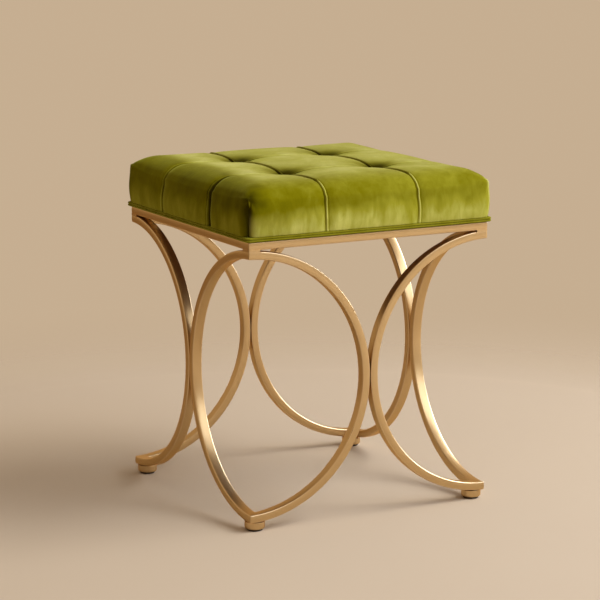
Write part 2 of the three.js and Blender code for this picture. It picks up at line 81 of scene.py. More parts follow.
SEAM = 75 * MM  # from the middle of the seat to each seam
SHOULDER_START = RAIL_TOP + 46.5 * MM
SHOULDER_RUN, SHOULDER_RISE = 40 * MM, 29.5 * MM
DOME = 4.5 * MM  # of the whole seat, then of its middle, edge and corner panels
CENTRE_CROWN, EDGE_CROWN, CORNER_CROWN = 1.5 * MM, 2 * MM, 2.6 * MM
CORNER_LIFT, FAR_LEFT_LIFT = 13 * MM, 3.5 * MM
BULGE = 2 * MM  # of the sides
SEAM_DRAW = 3 * MM  # how far a seam draws the outline in
TUFT_DEPTH, TUFT_SPREAD = 16 * MM, 18 * MM
CUSHION_CORNER = 18 * MM
HEM_TOP = piping_high.z + 0.3 * MM
HEM_HALF = 194.2 * MM
SWELL_LIMIT = 7 * MM  # the most that the simulated swelling may add
PIPING_DEPTH, PIPING_BEND = 6.5 * MM, 9 * MM
LINING_CORNER, LINING_SAG = 8 * MM, 2.2 * MM
STEP = 0.5 * MM  # over which a slope is measured
NEAR = 1e-6  # nearer than this is the same place

# a seam, in mm: its wide hollow, and where its groove, its lip and the fold behind that lie
HOLLOW_DEPTH, HOLLOW_WIDTH = 1.6, 9
GROOVE_AT, LIP_AT, BEHIND_LIP = 0.6, 2.0, 4.5

# grid lines beside a seam, in mm from it, close together where its fold and lip lie
SEAM_LINES = (-14, -11.5, -9.5, -7.8, -6.4, -5.2, -4.2, -3.4, -2.8, -2.3, -1.8, -1.35, -0.9,
              -0.45, 0, 0.4, 0.8, 1.2, 1.7, 2.2, 2.7, 3.2, 3.7, 4.1, 4.5, 4.9, 5.4, 6.2, 7.5,
              9.2, 11.5, 14)

CLOTH = dict(quality=7, mass=0.35, tension_stiffness=22, compression_stiffness=22,
             shear_stiffness=8, bending_stiffness=3.0, tension_damping=10, compression_damping=10,
             air_damping=3, vertex_group_mass="held", pin_stiffness=1, use_pressure=True,
             uniform_pressure_force=4)
CLOTH_FRAMES = 20

SIDES = ("front", "right", "back", "left")
CORNERS = ("front_left", "front_right", "back_right", "back_left")
TUFTS = ((-1, -1), (1, -1), (1, 1), (-1, 1))

# -------------------- colours, each pair a range
BRASS = (0.58, 0.397, 0.185), (0.61, 0.42, 0.199)
BRASS_WORN = (0.90, 0.72, 0.46)
BRASS_GLANCE = (0.98, 0.70, 0.38)
VELVET = ((0.0, (0.030, 0.024, 0.0003)), (0.3, (0.165, 0.152, 0.002)),
          (0.6, (0.30, 0.294, 0.024)), (1.0, (0.52, 0.519, 0.12)))
# the pale colour of the velvet's painted sheen
VELVET_PAINTED_SHEEN = (0.56, 0.54, 0.32)
VELVET_SHEEN = (0.95, 1.0, 0.2)
NYLON = (0.026, 0.018, 0.012), (0.042, 0.030, 0.021)
STEEL = (0.42, 0.42, 0.41), (0.56, 0.55, 0.53)
WOOD = (0.50, 0.33, 0.18), (0.62, 0.44, 0.26)
WOOD_PLY = (0.36, 0.22, 0.12)
LINING = (0.085, 0.032, 0.007), (0.115, 0.046, 0.010)
LINING_WEAVE = (0.135, 0.064, 0.018)
TWINE = (0.42, 0.36, 0.26), (0.66, 0.60, 0.47)
FLOOR = (0.567, 0.472, 0.362), (0.592, 0.497, 0.383)
# painted shade and light on the floor further out, which the brass mirrors
FLOOR_SWEEP = (0.36, 0.25, 0.15), (0.82, 0.75, 0.66)
BACKDROP = (0.565, 0.425, 0.285)
WALLS = (0.20, 0.115, 0.05), (0.78, 0.68, 0.56)


# -------------------- helpers
def unit(values):
    return np.clip(values, 0, 1)


def bell(values, width):
    """1 at nought, and nearly 0 beyond twice the width."""
    return np.exp(-(values / width) ** 2)


def ripple(points, size, seed):
    """Smooth noise from -1 to 1 at each point, of that size in metres."""
    shift = Vector((seed * 3.1, seed * 7.7, seed * 1.3))
    return np.array([noise.noise(Vector(p) / size + shift) for p in points])


def rounded(x, y, half, radius):
    """Places in plan, with the corners of a square of that half width rounded."""
    flat = half - radius
    over_x, over_y = np.maximum(np.abs(x) - flat, 0), np.maximum(np.abs(y) - flat, 0)
    both = (over_x > 0) & (over_y > 0)
    scale = np.maximum(over_x, over_y) / np.maximum(np.hypot(over_x, over_y), 1e-12)
    return (np.where(both, np.sign(x) * (flat + over_x * scale), x),
            np.where(both, np.sign(y) * (flat + over_y * scale), y))


def turned(points, turn):
    """The points turned by that many quarter turns about the vertical axis."""
    out = np.array(points, float)
    for _ in range(turn):
        out = np.stack([-out[:, 1], out[:, 0], out[:, 2]], axis=1)
    return out


def on_side(points, turn):
    """The points of a front piece, its upright corner edge rounded, turned round to its side."""
    x, y, z = np.array(points).T
    return turned(np.stack([*rounded(x, y, HALF, CORNER_EDGE), z], axis=1), turn)


def arc(across, up, radius, start, end, count, stretch=1.0):
    """Points of a profile, round a centre, from one angle to another in degrees."""
    angles = np.radians(np.linspace(start, end, count))
    return [(across + stretch * radius * math.cos(a), up + radius * math.sin(a)) for a in angles]


def circle(x, y, z, radius, count):
    """Points round a level circle."""
    return [(x + radius * math.cos(a), y + radius * math.sin(a), z)
            for a in (2 * math.pi * k / count for k in range(count))]


def towards(azimuth, elevation):
    """The direction from the stool to a place at those angles, in radians; azimuth 0 is -Y."""
    flat = math.cos(elevation)
    return Vector((math.sin(azimuth) * flat, -math.cos(azimuth) * flat, math.sin(elevation)))


def grid_faces(rows, columns, wrap=False, start=0):
    """Quads of a grid of points, row after row; wrap joins the last column to the first."""
    faces = []
    for r in range(rows - 1):
        for c in range(columns if wrap else columns - 1):
            n = (c + 1) % columns
            faces.append((start + r * columns + c, start + r * columns + n,
                          start + (r + 1) * columns + n, start + (r + 1) * columns + c))
    return faces


def grid_ring(n):
    """The points round the edge of a square grid, from its first corner, x first."""
    steps = np.arange(n - 1)
    return np.concatenate([steps, steps * n + n - 1, n * n - 1 - steps, (n - 1 - steps) * n])


def strip_faces(below, above):
    """Quads between two rings of as many points."""
    return np.stack([below, np.roll(below, -1), np.roll(above, -1), above], axis=1).tolist()


def facing_out(points, faces):
    """The faces, turned round where the closed mesh that they make is inside out."""
    fans = [(f[0], f[k], f[k + 1]) for f in faces for k in range(1, len(f) - 1)]
    a, b, c = np.array(points)[np.array(fans)].transpose(1, 0, 2)
    volume = (a * np.cross(b, c)).sum()
    return faces if volume > 0 else [tuple(reversed(f)) for f in faces]


def linked(obj):
    bpy.context.scene.collection.objects.link(obj)
    return obj


def new_object(name, points, faces):
    mesh = bpy.data.meshes.new(name)
    mesh.from_pydata([tuple(p) for p in points], [], [tuple(f) for f in faces])
    mesh.update()
    return linked(bpy.data.objects.new(name, mesh))


def piece(name, points, faces, material, slot, body="stool", replaces=(), uv=None, angle=35,
          attributes=None):
    """One closed piece of the model, smooth except over sharp edges, riding on its body."""
    obj = new_object(name, points, facing_out(points, faces))
    mesh = obj.data
    if uv is not None:
        layer = mesh.uv_layers.new(name="uv")
        index = np.zeros(len(mesh.loops), np.int32)
        mesh.loops.foreach_get("vertex_index", index)
        layer.data.foreach_set("uv", np.array(uv, np.float32)[index].ravel())
    for key, values in (attributes or {}).items():
        made = mesh.attributes.new(key, "FLOAT", "POINT")
        made.data.foreach_set("value", np.array(values, np.float32))
    mesh.materials.append(material)
    mesh.shade_smooth()
    if angle is not None:
        mesh.set_sharp_from_angle(angle=math.radians(angle))
    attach(obj, body)
    if replaces:
        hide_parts(*replaces)
    return obj


# -------------------- materials
class Nodes:
    """The node tree of a material or the world, with short ways to add to it."""

    def __init__(self, owner, output="ShaderNodeOutputMaterial"):
        owner.use_nodes = True
        self.owner, self.tree = owner, owner.node_tree
        self.tree.nodes.clear()
        self.end = self.tree.nodes.new(output).inputs["Surface"]

    def put(self, socket, value):
        """Gives a socket a number, a colour, a vector or another node's output."""
        if isinstance(value, bpy.types.NodeSocket):
            self.tree.links.new(value, socket)
        elif isinstance(value, tuple):
            socket.default_value = (*value, 1.0)[:len(socket.default_value)]
        elif value is not None:
            socket.default_value = value

    def node(self, kind, inputs=None, output=0, **settings):
        """Adds a node, fills its inputs, by name or number, and gives one of its outputs."""
        node = self.tree.nodes.new(kind)
        for key, value in settings.items():
            setattr(node, key, value)
        for key, value in (inputs or {}).items():
            self.put(node.inputs[key], value)
        return node.outputs[output]

    def place(self, scale=(1, 1, 1), kind="Object"):
        source = self.node("ShaderNodeTexCoord", output=kind)
        return self.node("ShaderNodeMapping", {"Vector": source, "Scale": scale})

    def noise(self, vector, scale, detail, roughness=0.55, distortion=0.0):
        return self.node("ShaderNodeTexNoise", {
            "Vector": vector, "Scale": scale, "Detail": detail, "Roughness": roughness,
            "Distortion": distortion}, "Fac")

    def wave(self, direction, scale, distortion=0.0):
        return self.node("ShaderNodeTexWave", {
            "Vector": self.place(), "Scale": scale, "Distortion": distortion}, "Fac",
            wave_type="BANDS", bands_direction=direction)

    def attribute(self, name):
        return self.node("ShaderNodeAttribute", output="Fac", attribute_name=name)

    def ray(self, kind):
        return self.node("ShaderNodeLightPath", output=f"Is {kind} Ray")

    def math(self, operation, a, b, clamp=False):
        return self.node("ShaderNodeMath", {0: a, 1: b}, operation=operation, use_clamp=clamp)

    def vector(self, operation, a, b=None):
        return self.node("ShaderNodeVectorMath", {0: a, 1: b}, "Value", operation=operation)

    def span(self, value, low, high, out_low=0.0, out_high=1.0):
        return self.node("ShaderNodeMapRange", {0: value, 1: low, 2: high, 3: out_low, 4: out_high})

    def vary(self, value, out_low=0.0, out_high=1.0):
        """A noise's usual reach, spread over another."""
        return self.span(value, 0.3, 0.7, out_low, out_high)

    def mix(self, factor, a, b):
        return self.node("ShaderNodeMix", {0: factor, 6: a, 7: b}, 2, data_type="RGBA")

    def tones(self, factor, stops):
        """A colour ramp through the stops, each a share and a colour."""
        colour = self.node("ShaderNodeValToRGB", {"Fac": factor}, "Color")
        ramp = colour.node.color_ramp.elements
        while len(ramp) < len(stops):
            ramp.new(0.5)
        for element, (share, tone) in zip(ramp, stops):
            element.position = share
            element.color = (*tone, 1.0)
        return colour

    def bump(self, height, strength, distance, normal=None):
        return self.node("ShaderNodeBump", {
            "Height": height, "Strength": strength, "Distance": distance, "Normal": normal})

    def surface(self, tone, rough, normal=None, **more):
        """Ends a material with a Principled shader, and gives the material."""
        inputs = {"Base Color": tone, "Roughness": rough, "Normal": normal}
        inputs.update({key.replace("_", " "): value for key, value in more.items()})
        self.put(self.end, self.node("ShaderNodeBsdfPrincipled", inputs))
        return self.owner


def new_material(name):
    return Nodes(bpy.data.materials.new(name))


def brass_material(name, grain, kind):
    """Satin brass, brushed along the grain, a little uneven in tone and brighter on the edges."""
    m = new_material(name)
    cloudy = m.noise(m.place(), 22, 4)
    fine = m.noise(m.place(), 420, 2)
    brushed = m.noise(m.place(grain, kind), 1.0, 5, roughness=0.7)
    worn = m.attribute("edge")
    tone = m.mix(m.math("MULTIPLY", worn, 0.32), m.mix(m.vary(cloudy), *BRASS), BRASS_WORN)
    rough = m.math("ADD", m.vary(brushed, 0.32, 0.37), m.vary(cloudy, -0.02, 0.02))
    rough = m.math("SUBTRACT", rough, m.math("MULTIPLY", worn, 0.05))
    normal = m.bump(fine, 0.04, 0.00008, m.bump(brushed, 0.06, 0.00006))
    return m.surface(tone, rough, normal, Metallic=1.0, Coat_Weight=0.08, Coat_Roughness=0.16,
                     Coat_IOR=1.8, Specular_Tint=BRASS_GLANCE)


def velvet_material():
    """Velvet: a deep pile lying in streaks, with a soft sheen at grazing angles, and painted light,
    shade and sheen laid on the mesh.
    """
    m = new_material("velvet")
    streaky = m.place((1, 1, 0.34))
    broad = m.noise(streaky, 24, 2, roughness=0.5, distortion=0.6)
    streaks = m.noise(streaky, 95, 3, roughness=0.6, distortion=0.9)
    pile = m.noise(m.place(), 2600, 2, roughness=0.7)
    uneven = m.math("ADD", m.vary(broad, 0.88, 1.12), m.vary(streaks, -0.12, 0.12))
    # the mesh's value here carries the pile's own tone and painted light and shade
    value = m.math("MULTIPLY", m.attribute("nap"), uneven)
    value = m.math("ADD", value, m.span(pile, 0.25, 0.75, -0.05, 0.05), clamp=True)
    # a painted pale sheen, laid on the mesh where light would catch the pile
    pale = m.math("MULTIPLY", m.attribute("bloom"), m.vary(broad, 0.16, 0.3))
    tone = m.mix(pale, m.tones(value, VELVET), VELVET_PAINTED_SHEEN)
    normal = m.bump(streaks, 0.25, 0.0009, m.bump(pile, 0.35, 0.00025))
    return m.surface(tone, m.vary(streaks, 0.78, 0.94), normal, Sheen_Weight=0.45,
                     Sheen_Roughness=0.3, Sheen_Tint=VELVET_SHEEN, Specular_IOR_Level=0.0)


def nylon_material():
    m = new_material("nylon")
    grain = m.noise(m.place(), 900, 2)
    cloudy = m.noise(m.place(), 120, 2)
    return m.surface(m.mix(m.vary(cloudy), *NYLON), m.vary(grain, 0.48, 0.62),
                     m.bump(grain, 0.2, 0.0001))


def steel_material():
    m = new_material("steel")
    cloudy = m.noise(m.place(), 60, 4)
    scratched = m.noise(m.place((1, 6, 1)), 500, 3)
    return m.surface(m.mix(m.vary(cloudy), *STEEL), m.vary(scratched, 0.3, 0.46),
                     m.bump(scratched, 0.1, 0.00008), Metallic=1.0)


def wood_material():
    m = new_material("plywood")
    grain = m.noise(m.place((3, 60, 60)), 3, 5, distortion=0.8)
    tone = m.mix(m.span(grain, 0.35, 0.65), *WOOD)
    tone = m.mix(m.math("MULTIPLY", m.wave("Z", 150), 0.25), tone, WOOD_PLY)
    return m.surface(tone, m.vary(grain, 0.6, 0.75), m.bump(grain, 0.2, 0.0003))


def lining_material():
    """The dark non-woven cloth under the seat, with a faint weave."""
    m = new_material("lining")
    weave = m.math("MULTIPLY", m.wave("X", 380, 0.6), m.wave("Y", 380, 0.6))
    cloudy = m.noise(m.place(), 40, 3)
    tone = m.mix(m.math("MULTIPLY", weave, 0.3), m.mix(m.vary(cloudy), *LINING), LINING_WEAVE)
    return m.surface(tone, m.vary(cloudy, 0.85, 0.95), m.bump(weave, 0.4, 0.0002),
                     Sheen_Weight=0.1, Sheen_Roughness=0.5)


def twine_material():
    m = new_material("twine")
    twist = m.wave("DIAGONAL", 220)
    return m.surface(m.mix(twist, *TWINE), 0.9, m.bump(twist, 0.5, 0.0003))


def floor_material():
    """Plain and pale near the stool, and see-through to the camera further out. Glossy rays meet
    a painted sweep of shade and light there, dark at the back left and pale at the front right as
    the lamps fall, which is what the brass mirrors."""
    m = new_material("floor")
    place = m.place()
    distance = m.vector("LENGTH", place)
    forward = m.vector("DOT_PRODUCT", place, (0.75, -0.66, 0))
    # painted light and shade: dark towards the back left, pale towards the front right where the
    # lamps stand
    sweep = m.mix(m.span(forward, -1.4, 2.2), *FLOOR_SWEEP)
    mirrored = m.math("MULTIPLY", m.ray("Glossy"), m.span(distance, 0.3, 1.1))
    spread = m.math("MAXIMUM", mirrored, m.span(distance, 1.0, 1.9))
    tone = m.mix(spread, m.mix(m.noise(place, 2.0, 3), *FLOOR), sweep)
    fade = m.span(distance, 0.8, 1.5, 1.0, 0.0)
    unseen = m.math("SUBTRACT", 1.0, m.ray("Camera"))
    return m.surface(tone, 0.9, Alpha=m.math("MAXIMUM", m.math("MULTIPLY", fade, fade), unseen),
                     Specular_IOR_Level=0.1)


brass = brass_material("brass_tube", (14, 1900, 1), "UV")
brass_turned = brass_material("brass_turned", (60, 60, 1500), "Object")
velvet = velvet_material()
nylon = nylon_material()
steel = steel_material()
plywood = wood_material()
lining_cloth = lining_material()
twine = twine_material()


# -------------------- frame
def tube_section():
    """A tube's rounded cross-section: depth from the outer face and distance from the outer edge,
    then the distance round it and how worn it is. Its faces are very slightly full."""
    near = EDGE + FACE_CROWN
    corners = ((near, near, 180), (TUBE_DEPTH - near, near, 270),
               (TUBE_DEPTH - near, TUBE_WIDTH - near, 0), (near, TUBE_WIDTH - near, 90))
    outwards = ((0, -1), (1, 0), (0, 1), (-1, 0))
    points, worn = [], []
    for number, (middle_d, middle_a, start) in enumerate(corners):
        points += arc(middle_d, middle_a, EDGE, start, start + 90, 5)
        worn += [0.55, 1, 1, 1, 0.55]
        next_d, next_a, _ = corners[(number + 1) % 4]
        out_d, out_a = outwards[number]
        for share in (0.06, 0.2, 0.5, 0.8, 0.94):
            out = EDGE + 4 * share * (1 - share) * FACE_CROWN
            points.append((middle_d + (next_d - middle_d) * share + out_d * out,
                           middle_a + (next_a - middle_a) * share + out_a * out))
            worn.append(0.12)
    around = [0.0]
    for a, b in zip(points, points[1:]):
        around.append(around[-1] + math.dist(a, b))
    return points, around, worn


def along_steps(length, step):
    """Shares along a tube: close together near the mitres, then even."""
    near = np.array([0, 0.5, 1.0, 1.6, 2.4, 4.0, 7.0]) * MM
    plain = length - 2 * near[-1]
    middle = np.linspace(near[-1], length - near[-1], max(2, round(plain / step)) + 1)
    return np.concatenate([near[:-1], middle, (length - near[:-1])[::-1]]) / length


def add_tube(name, node, path, length, step, turn):
    """One mitred tube. Path gives a point of the front side from the share along, the depth and
    the distance from the outer edge."""
    section, around, worn = tube_section()
    shares = along_steps(length, step)
    count, rows = len(section), len(shares)
    faces = grid_faces(rows, count, wrap=True)
    faces += [tuple(range(count)), tuple(reversed(range((rows - 1) * count, rows * count)))]
    piece(name, on_side([path(s, d, a) for s in shares for d, a in section], turn), faces, brass,
          "brass_tube", replaces=[node], uv=[(s * length, w) for s in shares for w in around],
          attributes={"edge": worn * rows})


def rail_path(s, d, a):
    reach = HALF - d - MITRE
    return (reach * (2 * s - 1), -HALF + d, RAIL_TOP - a)


def bar_path(hand):
    def path(s, d, a):
        radius = BAR_RADIUS - a
        start = math.asin((d + MITRE) / radius)
        angle = start + (math.pi - 2 * start) * s
        return (hand * (HALF - radius * math.sin(angle)), -HALF + d,
                BAR_CENTRE + radius * math.cos(angle))
    return path


def weld(hand):
    """The weld that fills the narrow wedge between rail and bar at a top corner, ground flush."""
    skin = 0.03 * MM
    overlap = EDGE + 0.15 * MM
    heights = np.linspace(0, 1, 7)
    loop = [(-skin, r) for r in heights] + [(TUBE_DEPTH + skin, r) for r in heights[::-1]]
    shares = np.concatenate([[0, 0.03, 0.06, 0.1], np.linspace(0.16, 1, 14)])
    top = RAIL_BOTTOM + overlap
    points = []
    for s in shares:
        for d, r in loop:
            start = max(d, 0) + MITRE
            u = start + (WELD_REACH + WELD_HOLLOW * (2 * r - 1) ** 2 - start) * s
            bottom = BAR_CENTRE + math.sqrt((BAR_RADIUS - overlap) ** 2 - u * u)
            points.append((hand * (HALF - u), -HALF + d, top + (bottom - top) * r))
    count = len(loop)
    faces = grid_faces(len(shares), count, wrap=True)
    for base in (0, (len(shares) - 1) * count):
        for i in range(count // 2 - 1):
            quad = (base + i, base + i + 1, base + count - 2 - i, base + count - 1 - i)
            faces.append(quad if base else tuple(reversed(quad)))
    return points, faces


def add_frame():
    for turn, side in enumerate(SIDES):
        add_tube(f"top_rail_{side}", f"rail_{side}", rail_path, 2 * HALF, 30 * MM, turn)
        for hand, end in ((-1, SIDES[turn - 1]), (1, SIDES[(turn + 1) % 4])):
            add_tube(f"bow_{side}_{end}", f"bar_{side}_{end}", bar_path(hand),
                     math.pi * BAR_RADIUS, 6 * MM, turn)
            points, faces = weld(hand)
            points = on_side(points, turn)
            piece(f"weld_{side}_{end}", points, faces, brass, "brass_tube",
                  uv=[(x + y, z) for x, y, z in points], attributes={"edge": [0.3] * len(points)})


def lathe(profile, x, y, segments=72):
    """A solid turned about an upright axis; the profile runs from the axis back to it."""
    points = []
    for radius, height in profile[1:-1]:
        points += circle(x, y, height, radius, segments)
    foot = len(points)
    points += [(x, y, profile[0][1]), (x, y, profile[-1][1])]
    faces = grid_faces(len(profile) - 2, segments, wrap=True)
    last_row = foot - segments
    for k in range(segments):
        n = (k + 1) % segments
        faces += [(foot, n, k), (foot + 1, last_row + k, last_row + n)]
    return points, faces


def add_feet():
    low, high = boss_low.z, boss_high.z + BOSS_WELD
    rim, lip = low + BOSS_RIM, high - BOSS_LIP
    boss = [(0, low), (BOSS_BORE, low)]
    boss += arc(BOSS_RADIUS - BOSS_RIM, rim, BOSS_RIM, -90, 0, 9)
    boss += [(BOSS_RADIUS, rim + (lip - rim) * share) for share in (0.4, 0.7, 0.95)]
    boss += arc(BOSS_RADIUS - BOSS_LIP, lip, BOSS_LIP, 0, 90, 5)
    boss += [(BOSS_BORE, high), (0, high)]
    pad = [(0, 0), (PAD_RADIUS - PAD_CHAMFER, 0), (PAD_RADIUS - 0.15 * MM, 0.4 * MM),
           (PAD_RADIUS, PAD_CHAMFER), (PAD_RADIUS, pad_high.z - 0.2 * MM),
           (PAD_RADIUS - 0.2 * MM, pad_high.z), (0, pad_high.z)]
    place = BOSS_RADIUS - HALF
    for turn, corner in enumerate(CORNERS):
        for name, node, profile, material, slot, body in (
                ("boss", "foot_boss", boss, brass_turned, "brass_tube", "stool"),
                ("pad", "glide_pad", pad, nylon, "nylon", f"glide_{corner}")):
            points, faces = lathe(profile, place, place)
            piece(f"{name}_{corner}", turned(points, turn), faces, material, slot, body=body,
                  replaces=[f"{node}_{corner}"], attributes={"edge": [0.2] * len(points)},
                  angle=40)


# -------------------- cushion
def arch(along):
    """0 on a seam and at the outer edge, 1 in the middle of a panel."""
    distance = np.abs(along)
    share = unit((distance - SEAM) / (CUSHION_HALF - SEAM))
    return np.where(distance <= SEAM, 1 - (distance / SEAM) ** 2,
                    unit(4 * share * (1 - share)) ** 0.8)


def shoulder(along):
    """1 over the top, falling to 0 at the outer edge as a quarter of a circle does."""
    left = unit(1 - (CUSHION_HALF - np.abs(along)) / SHOULDER_RUN)
    return np.sqrt(1 - left ** 2)


def cushion_point(x, y, drop, crown=1.0, tuft=1.0):
    """The cushion's outer form. x and y are places in the square plan; drop is 0 on top and,
    below the shoulder, the share of the way down the side."""
    level = shoulder(x) * shoulder(y)
    share_x, share_y = np.abs(x) / CUSHION_HALF, np.abs(y) / CUSHION_HALF
    inner_x, inner_y = np.abs(x) <= SEAM, np.abs(y) <= SEAM
    full = np.where(inner_x & inner_y, CENTRE_CROWN,
                    np.where(inner_x | inner_y, EDGE_CROWN, CORNER_CROWN))
    rise = SHOULDER_RISE + crown * full * arch(x) * arch(y) \
        + DOME * (1 - share_x ** 2) * (1 - share_y ** 2)
    edge = SHOULDER_START + CORNER_LIFT * (share_x * share_y) ** 8
    edge = edge + np.where((x < 0) & (y > 0), FAR_LEFT_LIFT * (share_x * share_y) ** 4, 0)
    height = edge + level * rise
    for tx, ty in TUFTS:
        away = np.hypot(x - tx * SEAM, y - ty * SEAM)
        height = height - level * tuft * TUFT_DEPTH * np.exp(-away / TUFT_SPREAD)
    swell = 1 + BULGE * np.sin(np.pi * unit(drop)) / CUSHION_HALF
    draw = np.sqrt(1 - drop) * SEAM_DRAW
    plan_x, plan_y = rounded(x, y, CUSHION_HALF, CUSHION_CORNER)
    plan_x = plan_x * swell \
        - np.sign(x) * draw * (1 - arch(y)) * (1 - shoulder(x)) * (1 - share_y ** 8)
    plan_y = plan_y * swell \
        - np.sign(y) * draw * (1 - arch(x)) * (1 - shoulder(y)) * (1 - share_x ** 8)
    return np.stack([plan_x, plan_y, height - drop * (edge - HEM_TOP)], axis=-1)


def plan_lines(step, seam_lines, shoulder_steps):
    """Places of the grid lines across the cushion, with extra ones at the seams."""
    beside = np.array(seam_lines) * MM
    low, high, flat = SEAM + beside[0], SEAM + beside[-1], CUSHION_HALF - SHOULDER_RUN
    middle = np.linspace(0, low, max(1, round(low / step)) + 1)[:-1]
    outer = np.linspace(high, flat, max(1, round((flat - high) / step)) + 1)[1:]
    bend = flat + SHOULDER_RUN * np.sin(np.linspace(0, math.pi / 2, shoulder_steps + 1)[1:])
    left = np.concatenate([middle[1:], SEAM - beside[::-1], outer, bend])
    return np.concatenate([-left[::-1], middle, SEAM + beside, outer, bend])


class Sheet:
    """The cushion as one square sheet, and side strips of that many rows that hang from it."""

    def __init__(self, step, seam_lines, shoulder_steps, rows):
        self.lines = plan_lines(step, seam_lines, shoulder_steps)
        self.drops = np.linspace(0, 1, rows + 1)[1:]
        self.n = len(self.lines)
        self.ring = grid_ring(self.n)
        x, y = (v.ravel() for v in np.meshgrid(self.lines, self.lines))
        self.x = np.concatenate([x, np.tile(x[self.ring], rows)])
        self.y = np.concatenate([y, np.tile(y[self.ring], rows)])
        self.drop = np.concatenate([np.zeros(len(x)), np.repeat(self.drops, len(self.ring))])
        self.is_side = self.drop > 0
        self.edge_x, self.edge_y = (np.abs(np.abs(v) - CUSHION_HALF) < NEAR
                                    for v in (self.x, self.y))

    def faces(self):
        """Its faces, and the points along its foot."""
        faces, above = grid_faces(self.n, self.n), self.ring
        for row in range(len(self.drops)):
            below = self.n ** 2 + row * len(self.ring) + np.arange(len(self.ring))
            faces += strip_faces(below, above)
            above = below
        return faces, above


def spline(knots, values, at):
    """Natural cubic spline through values (first axis) at the knots, read at the places at."""
    h = np.diff(knots)
    n = len(knots)
    a = np.zeros((n, n))
    b = np.zeros((n,) + values.shape[1:])
    a[0, 0] = a[-1, -1] = 1
    for i in range(1, n - 1):
        a[i, i - 1: i + 2] = h[i - 1], 2 * (h[i - 1] + h[i]), h[i]
        b[i] = 3 * ((values[i + 1] - values[i]) / h[i] - (values[i] - values[i - 1]) / h[i - 1])
    c = np.linalg.solve(a, b.reshape(n, -1)).reshape(b.shape)
    k = np.clip(np.searchsorted(knots, at, side="right") - 1, 0, n - 2)
    t = (at - knots[k]).reshape((-1,) + (1,) * (values.ndim - 1))
    hk = h[k].reshape(t.shape)
    slope = (values[k + 1] - values[k]) / hk - hk * (2 * c[k] + c[k + 1]) / 3
    return values[k] + t * (slope + t * (c[k] + t * (c[k + 1] - c[k]) / (3 * hk)))


def panel_spline(knots, values, at):
    """The same, panel by panel, so that the crease at each seam stays."""
    out = np.zeros((len(at),) + values.shape[1:])
    bounds = (-math.inf, -SEAM, SEAM, math.inf)
    for low, high in zip(bounds, bounds[1:]):
        inside = (knots >= low - NEAR) & (knots <= high + NEAR)
        wanted = (at >= low - NEAR) & (at <= high + NEAR)
        out[wanted] = spline(knots[inside], values[inside], at[wanted])
    return out


def refined(coarse, points, fine):
    """The coarse sheet's points carried over to the finer one by splines within each panel."""
    n, m = coarse.n, fine.n
    top = points[: n * n].reshape(n, n, 3)
    for _ in range(2):  # along x, then along y
        top = panel_spline(coarse.lines, top.transpose(1, 0, 2), fine.lines)
    out = np.zeros((len(fine.x), 3))
    out[: m * m] = top.reshape(-1, 3)
    count_c, count_f = len(coarse.ring), len(fine.ring)
    strips = np.concatenate([points[coarse.ring], points[n * n:]]).reshape(-1, count_c, 3)
    for side in range(4):
        index_c = (side * (n - 1) + np.arange(n)) % count_c
        index_f = (side * (m - 1) + np.arange(m)) % count_f
        lines_c, lines_f = coarse.lines, fine.lines
        if side >= 2:  # the ring runs backwards along the far and left sides
            lines_c, lines_f = -lines_c[::-1], -lines_f[::-1]
        along = panel_spline(lines_c, strips[:, index_c].transpose(1, 0, 2), lines_f)
        down = spline(np.array([0, *coarse.drops]), along.transpose(1, 0, 2), fine.drops)
        for row, values in enumerate(down):
            out[m * m + row * count_f + index_f[:-1]] = values[:-1]
    return out


def simulate(sheet):
    """Cloth with air pressure under it, held at the seams, the tufts and the hem. Returns where
    each point of the sheet comes to lie."""
    start = cushion_point(sheet.x, sheet.y, sheet.drop, crown=0.3, tuft=0.95)
    obj = new_object("sim", start, sheet.faces()[0])
    pinned = sheet.drop > 0.999
    for axis, edge in ((sheet.x, sheet.edge_x), (sheet.y, sheet.edge_y)):
        pinned |= (np.abs(np.abs(axis) - SEAM) < NEAR) & ~(sheet.is_side & edge)
    held = obj.vertex_groups.new(name="held")
    held.add(np.nonzero(pinned)[0].tolist(), 1.0, "REPLACE")
    cloth = obj.modifiers.new("Cloth", "CLOTH")
    for key, value in CLOTH.items():
        setattr(cloth.settings, key, value)
    cloth.settings.effector_weights.gravity = 0
    cloth.collision_settings.use_self_collision = False
    cloth.collision_settings.use_collision = False
    cloth.point_cache.frame_start, cloth.point_cache.frame_end = 1, CLOTH_FRAMES
    for number in range(CLOTH_FRAMES):
        bpy.context.scene.frame_set(number + 1)
    evaluated = obj.evaluated_get(bpy.context.evaluated_depsgraph_get())
    moved = np.zeros(len(start) * 3)
    evaluated.data.vertices.foreach_get("co", moved)
    bpy.context.scene.frame_set(1)
    bpy.data.objects.remove(obj)
    shift = moved.reshape(-1, 3) - start
    size = np.linalg.norm(shift, axis=1)
    print(f"cloth moved {size.max() / MM:.2f} mm at most, {size.mean() / MM:.2f} mean")
    limited = SWELL_LIMIT * np.tanh(size / SWELL_LIMIT)
    return start + shift * (limited / np.maximum(size, 1e-9))[:, None]


